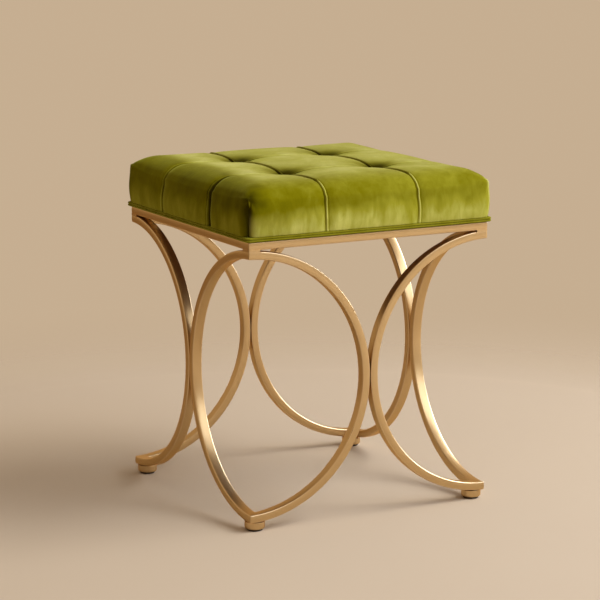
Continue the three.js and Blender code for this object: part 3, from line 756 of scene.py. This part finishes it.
def outward(sheet):
    """Directions in which details move the surface: those of the plain rounded form."""
    flat = [cushion_point(sheet.x + a, sheet.y + b, sheet.drop, crown=0, tuft=0)
            for a, b in ((STEP, 0), (-STEP, 0), (0, STEP), (0, -STEP))]
    normal = np.cross(flat[0] - flat[1], flat[2] - flat[3])
    size = np.linalg.norm(normal, axis=1)
    top = (size > 1e-12) & ~sheet.is_side
    direction = np.where(top[:, None], normal / np.maximum(size, 1e-12)[:, None], 0)
    plan = np.stack([sheet.x, sheet.y], axis=1)
    edges = np.stack([sheet.edge_x, sheet.edge_y], axis=1)
    over = np.maximum(np.abs(plan) - (CUSHION_HALF - CUSHION_CORNER), 0) * np.sign(plan)
    in_corner = (np.abs(over) > 0).all(axis=1)
    sideways = np.where(in_corner[:, None], over, np.sign(plan) * edges)
    sideways = sideways / np.maximum(np.linalg.norm(sideways, axis=1), 1e-12)[:, None]
    return np.where(edges.any(axis=1)[:, None], np.pad(sideways, ((0, 0), (0, 1))), direction)


def seam_profile(s, groove, lip, width):
    """How far a seam moves the surface out, from the distance s across it in mm. The tuck's thin
    raised lip lies on the positive side of the groove, which has its own width."""
    out = -HOLLOW_DEPTH * bell(s, HOLLOW_WIDTH) - groove * bell(s + width - GROOVE_AT, width)
    return (out + lip * bell(s - LIP_AT, 1.3) - 0.4 * groove * bell(s - BEHIND_LIP, 0.8)) * MM


def seam_marks(sheet):
    """What the four seams do at each point: how far they move the surface, how much painted shade
    it gets from lying in a fold and how much painted highlight it gets as lip. Each seam is a fold
    beside a groove, over the shoulder and down the sides. Of the two that run left to right, the
    nearer gapes at its ends."""
    near_tuft = np.min([np.hypot(sheet.x - tx * SEAM, sheet.y - ty * SEAM) for tx, ty in TUFTS],
                       axis=0)
    clear = 1 - bell(near_tuft, 9 * MM)
    front = np.abs(sheet.y) > CUSHION_HALF - 0.8 * SHOULDER_RUN
    gape = 4.2 * unit((np.abs(sheet.x) / MM - 160) / 30)
    detail, seam_shade, lip_highlight = np.zeros((3, len(sheet.x)))
    for axis, edge, other in ((sheet.x, sheet.edge_x, sheet.edge_y),
                              (sheet.y, sheet.edge_y, sheet.edge_x)):
        off = sheet.is_side & edge & ~other
        down_front = front & (axis is sheet.x)
        flush = np.where(sheet.is_side | (axis is sheet.x), 1, 0.65)
        pale = np.where(down_front, 1, np.where(sheet.is_side, 0.45, 0.3))
        for sign in (-1, 1):
            s = (axis - sign * SEAM) / MM
            width = 1.1 + gape * (sign < 0 and axis is sheet.y)
            groove = np.where(down_front, 0.9, (0.9 + 0.7 * width) * flush)
            lip = np.where(down_front, 1.0, 1.9) * flush * clear
            profile = np.where(off | (np.abs(s) > 30), 0, seam_profile(s, groove, lip, width))
            detail = np.where(np.abs(profile) > np.abs(detail), profile, detail)
            # painted shade in the fold beside the groove and behind the lip, and a painted
            # highlight on the lip
            fold = bell(s + width - GROOVE_AT, width + 0.2)
            fold = fold + 0.6 * bell(s - BEHIND_LIP - 0.1, 0.8)
            fold = fold * np.where(down_front, 0.6, flush) * (0.8 + 0.25 * width)
            seam_shade = np.maximum(seam_shade, np.where(off, 0, fold))
            lip_highlight = np.maximum(lip_highlight, np.where(off, 0, bell(s - LIP_AT, 1.1) * clear * pale))
    return detail, seam_shade, lip_highlight


def tuft_folds(sheet):
    """How far the small folds round the tufts move the surface."""
    out = np.zeros(len(sheet.x))
    for tx, ty in TUFTS:
        dx, dy = sheet.x - tx * SEAM, sheet.y - ty * SEAM
        away, turn = np.hypot(dx, dy), np.arctan2(dy, dx)
        clear = unit((np.minimum(np.abs(dx), np.abs(dy)) / MM - 2) / 6)
        folds = np.cos(9 * turn + 1.7 * tx + 0.9 * ty) + 0.6 * np.cos(14 * turn + 2.1 * ty)
        out += 0.35 * MM * folds * clear * np.exp(-away / (16 * MM)) * ~sheet.is_side
    return out


def corner_marks(sheet):
    """The pinched fold down each upright corner, which runs out on the shoulder above it. The
    front right corner has its fold pulled flat, with a painted highlight of sheen down it and along
    the right top edge. Two small nibs stick out of the fold near its head; they get a painted
    highlight."""
    away_x, away_y = CUSHION_HALF - np.abs(sheet.x), CUSHION_HALF - np.abs(sheet.y)
    away = np.where(sheet.edge_x, away_y, away_x)
    away = np.where(sheet.edge_x | sheet.edge_y, away, np.abs(away_x - away_y) / math.sqrt(2))
    head = unit((sheet.drop - 0.03) / 0.35)
    head = head * (2 - head)
    folded = np.where((sheet.x > 0) & (sheet.y < 0), 0.15, 1)
    # rim: a painted highlight of sheen down the front right corner and along the right edge's
    # shoulder
    rim = (folded < 1) * sheet.is_side * bell(away, 5 * MM)
    rim = np.maximum(rim, bell(CUSHION_HALF - sheet.x, 5 * MM) * unit(1 - 5 * sheet.drop))
    nib = 0
    for share, out, height, reach in ((1, 2, 0.1, 0.08), (0.4, 9, 0.14, 0.1)):
        nib = nib + share * bell(away / MM - out - 8 * sheet.drop, 1.8) \
            * bell(sheet.drop - height, reach)
    nib = nib * (sheet.edge_y & sheet.is_side)
    pinch = 0.5 * bell(away, 3.2 * MM + 0.8 * MM * head) + 0.5 * bell(away, 11 * MM)
    detail = -4.2 * MM * np.sqrt(folded) * head * pinch + 1.2 * MM * nib
    return SimpleNamespace(away=away, from_edge=np.hypot(away_x, away_y), head=head,
                           folded=folded, rim=rim, nib=nib, detail=detail)


def paint_nap_light_and_shade(sheet, points, seam_shade, lip_highlight, corner):
    """The velvet's tone, with painted light and shade in it: light where the top lies flat, painted
    shade where it leans to one side of the seat, light and streaked low on the sides, painted
    highlights on the lips and painted shade in the folds. The second value is a painted sheen, a
    pale haze where light would catch the ends of the pile."""
    x, y, drop, is_side, edge_x = sheet.x, sheet.y, sheet.drop, sheet.is_side, sheet.edge_x
    right, back = x / CUSHION_HALF, y / CUSHION_HALF
    from_left, from_front = (CUSHION_HALF + x) / MM, (CUSHION_HALF + y) / MM
    upper = unit(1 - 2 * drop)

    # how far the form leans, which way, and how near it is to the left and front edges
    slope_x, slope_y = ((cushion_point(x + a, y + b, drop) - cushion_point(x - a, y - b, drop))
                        [:, 2] / (2 * STEP) for a, b in ((STEP, 0), (0, STEP)))
    lean = np.where(is_side, 3, 1.4 * np.maximum(slope_x, 0) + 0.88 * np.maximum(slope_y, 0))
    steep = np.where(is_side, 3, np.hypot(slope_x, slope_y))
    lean = np.clip(0.75 * lean + 0.25 * steep, 0, 3)
    by_left = unit((68 - 14 * unit(1.6 - from_front / 55) - from_left) / 34)
    by_front = unit((90 - from_front) / 72)
    by_left, by_front = (b * b * (3 - 2 * b) for b in (by_left, by_front))
    by_edge = 1 - (1 - by_left) * (1 - by_front)
    sideways = np.where(is_side, edge_x & ~sheet.edge_y,
                        slope_x ** 2 / np.maximum(slope_x ** 2 + slope_y ** 2, 1e-9))
    sideways = np.maximum(sideways, by_left * upper)

    # the top, with painted light and shade: darker by its left edge, a band of painted light inside
    # that, painted light on the near left panel, painted shade left of the middle, darker towards
    # the far right, lighter away from the edges
    lit = unit(1 + 1.2 * back) * bell(from_left - 76, 19) * upper
    near_left = bell(from_left - 68, 28) * bell(from_front - 84, 30) * upper
    nap = 0.57 - 0.07 * by_left * upper + 0.17 * lit + 0.15 * near_left
    nap -= 0.10 * bell(x / MM + 50, 24) * bell(y / MM + 8, 34)
    nap -= (0.04 * np.maximum(right, 0) + 0.09 * np.maximum(back, 0) * unit(0.5 + right)) * upper
    nap += 0.125 * (1 - back ** 4) * (1 - right ** 2) ** 0.15 * (1 - by_left)

    # painted shade on the shoulders, paler streaks low on the sides and patches all over
    streak = sum(share * ripple(points * [1, 1, tall], size, seed) for share, tall, size, seed in
                 ((1, 0.22, 0.022, 10), (0.8, 0.25, 0.011, 11), (0.5, 0.3, 0.005, 12)))
    blotch, broad, small = (ripple(points, size, seed)
                            for size, seed in ((0.034, 13), (0.075, 14), (0.013, 15)))
    lean_shade = unit((lean + 0.05 * blotch) / 0.5) ** 0.8
    shaded = 0.15 + 0.08 * sideways + 0.05 * by_front * upper * unit(0.6 - right)
    nap -= shaded * np.maximum(lean_shade, by_edge * (1 + 0.28 * blotch))
    share = (points[:, 2] - HEM_TOP) / (SHOULDER_START - HEM_TOP)
    side = unit((1.3 - share) / 0.35)
    low = unit((0.95 - share + 0.32 * blotch + 0.16 * streak) / 0.75)
    near_fold = corner.folded * bell(corner.away, np.where(edge_x, 14, 20) * MM) \
        * (1 - np.where(edge_x, 0, drop ** 4))
    even = 1.02 - 0.16 * points[:, 0] / CUSHION_HALF
    nap += side * even * (0.40 * low + 0.17 * streak * low) * (1 - 0.6 * edge_x) \
        * (1 - 0.8 * near_fold)
    nap += 0.05 * blotch + 0.07 * broad + 0.045 * small * np.clip(share, 0.3, 1)

    # painted shade in the tufts' dips, the seams and the corner folds; painted light on lips, nibs,
    # rims
    dip_shade = 0
    for tx, ty in TUFTS:
        ahead_x, ahead_y = x - tx * SEAM - 6 * MM, y - ty * SEAM - 11 * MM
        beyond = ((0.88 * ahead_x - 0.47 * ahead_y) / (33 * MM)) ** 2 \
            + ((0.47 * ahead_x + 0.88 * ahead_y) / (26 * MM)) ** 2
        dip_shade = np.maximum(dip_shade, (1 - side) * np.exp(-beyond ** 0.8))
    nap += 0.5 * lip_highlight - 0.32 * seam_shade - 0.52 * dip_shade
    wide = np.where(edge_x, 0.10, 0.16) * bell(corner.away, np.where(edge_x, 24, 17) * MM)
    core = np.where(edge_x, 0.26, 0.32) * bell(corner.away, np.where(edge_x, 12, 8) * MM)
    above = 0.10 * unit(1.6 - corner.from_edge / (16 * MM)) * bell(corner.away, 14 * MM)
    nap -= corner.folded * np.where(is_side, 0.5 * wide + corner.head * (0.5 * wide + core), above)
    nap += 0.03 * (right + back) + 0.6 * (corner.nib + corner.rim)

    plain = unit(1 - seam_shade)
    bloom = unit(1 - lean / 0.65) ** 1.3 * plain * (1 - dip_shade) * (1 - 0.8 * by_edge)
    bloom += 0.25 * lit * plain
    bloom = np.maximum(bloom, 0.45 * side * low * unit(-right) * ~edge_x)
    bloom = np.maximum(bloom, np.maximum(0.25 * lip_highlight, corner.rim))
    return unit(nap), unit(bloom)


def closed(sheet, points):
    """The sheet's points and faces with the hem drawn in behind the piping and closed below."""
    faces, above = sheet.faces()
    scale = HEM_HALF / CUSHION_HALF
    foot = points[above]
    for inwards, z in (((1 + scale) / 2, HEM_TOP - 0.15 * MM), (scale, HEM_TOP - 0.4 * MM),
                       (scale, SEAT_BOTTOM)):
        below = len(points) + np.arange(len(above))
        points = np.concatenate([points, foot * [inwards, inwards, 0] + [0, 0, z]])
        faces += strip_faces(below, above)
        above = below
    faces += [(len(points), int(b), int(a)) for a, b in zip(above, np.roll(above, -1))]
    return np.concatenate([points, [[0, 0, SEAT_BOTTOM]]]), faces


def add_cushion():
    coarse = Sheet(5 * MM, (-5, 0, 5), 8, 10)
    fine = Sheet(3.2 * MM, SEAM_LINES, 16, 24)
    puffed = simulate(coarse)
    points = refined(coarse, puffed, fine)
    points[fine.drop > 0.9999, 2] = HEM_TOP

    # seams, folds round the tufts, an uneven fall, and pleats and corner folds down the sides
    detail, seam_shade, lip_highlight = seam_marks(fine)
    corner = corner_marks(fine)
    detail = detail + tuft_folds(fine) + 0.55 * MM * ripple(points, 0.055, 1)
    pleats = 0.8 * MM * ripple(points * [1, 1, 0.25], 0.011, 2)
    pleats = pleats * fine.drop ** 2 * (1 - fine.drop ** 8)
    detail += np.where(fine.is_side, pleats + corner.detail, 0)
    points = points + outward(fine) * detail[:, None]

    nap, bloom = paint_nap_light_and_shade(fine, points, seam_shade, lip_highlight, corner)
    points, faces = closed(fine, points)
    hidden = (0, len(points) - len(nap))
    cushion = piece("cushion", points, faces, velvet, "velvet",
                    replaces=["seat_cover", "foam_core"], angle=None,
                    attributes={"nap": np.pad(nap, hidden, constant_values=0.2),
                                "bloom": np.pad(bloom, hidden)})


def add_piping():
    """The double piping round the cushion's foot: two cords side by side, sewn in one strip."""
    reach = piping_high.x
    radius = (piping_high.z - piping_low.z) / 4
    outline = []
    for middle in (piping_low.z + radius, piping_high.z - radius):
        outline += arc(reach - radius * 1.25, middle, radius, -90, 90, 9, stretch=1.25)
    outline += [(reach - PIPING_DEPTH, piping_high.z), (reach - PIPING_DEPTH, piping_low.z)]

    # stations: round each corner's centre, then straight on to the next
    flat = reach - PIPING_BEND
    centres = [(flat, flat), (-flat, flat), (-flat, -flat), (flat, -flat)]
    stations = []
    for number, (cx, cy) in enumerate(centres):
        nx, ny = centres[(number + 1) % 4]
        stations += [(cx, cy, (number + k / 12) * math.pi / 2) for k in range(13)]
        stations += [(cx + (nx - cx) * k / 96, cy + (ny - cy) * k / 96,
                      (number + 1) * math.pi / 2) for k in range(1, 96)]
    points = np.array([(cx + (out - flat) * math.cos(a), cy + (out - flat) * math.sin(a), z)
                       for cx, cy, a in stations for out, z in outline])

    count = len(outline)
    cord = np.tile([1.0] * (count - 2) + [0, 0], len(stations))
    radial = points * [1, 1, 0]
    radial = radial / np.linalg.norm(radial, axis=1)[:, None]
    points = points - radial * (np.abs(ripple(points, 0.014, 5) * 0.22 * MM) * cord)[:, None]
    faces = grid_faces(len(stations), count, wrap=True)
    faces += strip_faces(len(points) - count + np.arange(count), np.arange(count))
    # the piping's velvet tone, and a faint painted sheen over it
    nap = np.full(len(points), 0.40)
    piece("piping", points, faces, velvet, "velvet", replaces=["seat_piping"], angle=50,
          attributes={"nap": nap, "bloom": 0.1 * nap})


def add_lining():
    """The dark cloth under the board, a little slack between its edges."""
    half, n = lining_high.x, 45
    x, y = (v.ravel() for v in np.meshgrid(*[np.linspace(-half, half, n)] * 2))
    free = (1 - (x / half) ** 2) * (1 - (y / half) ** 2)
    x, y = rounded(x, y, half, LINING_CORNER)
    folds = ripple(np.stack([x, y, np.zeros(n * n)], axis=1), 0.05, 8) * unit(free * 6)
    low = lining_low.z - LINING_SAG * free + 0.35 * MM * folds
    high = low + (lining_high.z - lining_low.z)
    points = np.concatenate([np.stack([x, y, z], axis=1) for z in (low, high)])
    ring = grid_ring(n)
    faces = [f[::-1] for f in grid_faces(n, n)] + grid_faces(n, n, start=n * n)
    sheet = piece("lining_sheet", points, faces + strip_faces(ring, ring + n * n), lining_cloth,
                  "lining", replaces=["seat_lining"], angle=60)


def dress_cad_nodes():
    """Materials and softened edges for the CAD nodes that stay."""
    finishes = {"glide_stem": steel, "seat_tab": steel, "seat_screw": steel, "tuft_tie": twine,
                "seat_board": plywood}
    for name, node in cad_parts.items():
        for prefix, material in finishes.items():
            if name.startswith(prefix):
                node.data.materials.clear()
                node.data.materials.append(material)
                bevel = node.modifiers.new("edges", "BEVEL")
                bevel.width = 0.25 * MM
                bevel.segments = 2
                bevel.limit_method = "ANGLE"
                bevel.angle_limit = math.radians(40)


# -------------------- studio
def add_floor():
    segments = 96
    points = [(0, 0, 0)]
    for radius in (0.5, 1.5, 6.0):
        points += circle(0, 0, 0, radius, segments)
    faces = [(0, 1 + k, 1 + (k + 1) % segments) for k in range(segments)]
    faces += [f[::-1] for f in grid_faces(3, segments, wrap=True, start=1)]
    floor = new_object("floor", points, faces)
    floor.data.materials.append(floor_material())


def add_world():
    """A plain backdrop that the camera and reflections see, and soft light, mostly from the
    front right."""
    world = bpy.data.worlds.new("studio")
    bpy.context.scene.world = world
    w = Nodes(world, "ShaderNodeOutputWorld")
    bright_side = tuple(Vector((0.58, -0.58, 0.57)).normalized())
    facing = w.vector("DOT_PRODUCT", w.node("ShaderNodeTexCoord", output="Generated"), bright_side)
    walls = w.mix(w.span(facing, -0.4, 0.95), *WALLS)
    seen = w.ray("Camera")
    for kind in ("Glossy", "Transmission"):
        seen = w.math("MAXIMUM", seen, w.ray(kind))
    w.put(w.end, w.node("ShaderNodeMixShader", {
        0: seen, 1: w.node("ShaderNodeBackground", {"Color": walls}),
        2: w.node("ShaderNodeBackground", {"Color": BACKDROP})}))


def add_lamp(name, azimuth, elevation, distance, size, watts, colour):
    """An area lamp that faces the middle of the stool."""
    data = bpy.data.lights.new(name, "AREA")
    data.shape = "RECTANGLE"
    data.size, data.size_y = size
    data.energy = watts
    data.color = colour
    obj = linked(bpy.data.objects.new(name, data))
    away = towards(math.radians(azimuth), math.radians(elevation))
    obj.location = Vector((0, 0, 0.25)) + away * distance
    obj.rotation_mode = "QUATERNION"
    obj.rotation_quaternion = away.to_track_quat("Z", "Y")
    return obj


def add_lamps():
    """The key casts the shadows. The brass mirrors the panel beside it and the rim lamp."""
    key = add_lamp("key", 62, 47, 4.5, (2.6, 2.4), 137, (1.0, 0.98, 0.95))
    key.visible_glossy = False
    add_lamp("panel", 36, 34, 4.0, (2.7, 2.6), 50, (0.85, 0.98, 1.22))
    rim = add_lamp("rim", 94, 25, 4.5, (3.2, 3.2), 310, (0.87, 1.0, 1.3))
    rim.visible_diffuse = False


def add_camera():
    """The photograph's viewing angle: a long lens, seen from the front left and a little above."""
    focal_pixels, picture_width, distance = 2450.0, 600, 4.06787
    azimuth, elevation, roll = (math.radians(v) for v in (-28.30975, 10.81158, -0.09749))
    target = Vector((0.18262, 0.35718, 0.208))
    back = towards(azimuth, elevation)
    right = Vector((math.cos(azimuth), math.sin(azimuth), 0))
    up = back.cross(right)
    right, up = (right * math.cos(roll) + up * math.sin(roll),
                 up * math.cos(roll) - right * math.sin(roll))
    data = bpy.data.cameras.new("camera")
    data.sensor_fit = "HORIZONTAL"
    data.sensor_width = 36
    data.lens = data.sensor_width * focal_pixels / picture_width
    data.clip_start, data.clip_end = 0.1, 50
    camera = linked(bpy.data.objects.new("camera", data))
    camera.matrix_world = Matrix((right, up, back)).transposed().to_4x4()
    camera.location = target + back * distance
    bpy.context.scene.camera = camera


add_camera()
add_frame()
add_feet()
add_cushion()
add_piping()
add_lining()
dress_cad_nodes()
add_floor()
add_world()
add_lamps()
bpy.context.scene.view_settings.view_transform = "Standard"
bpy.context.view_layer.update()
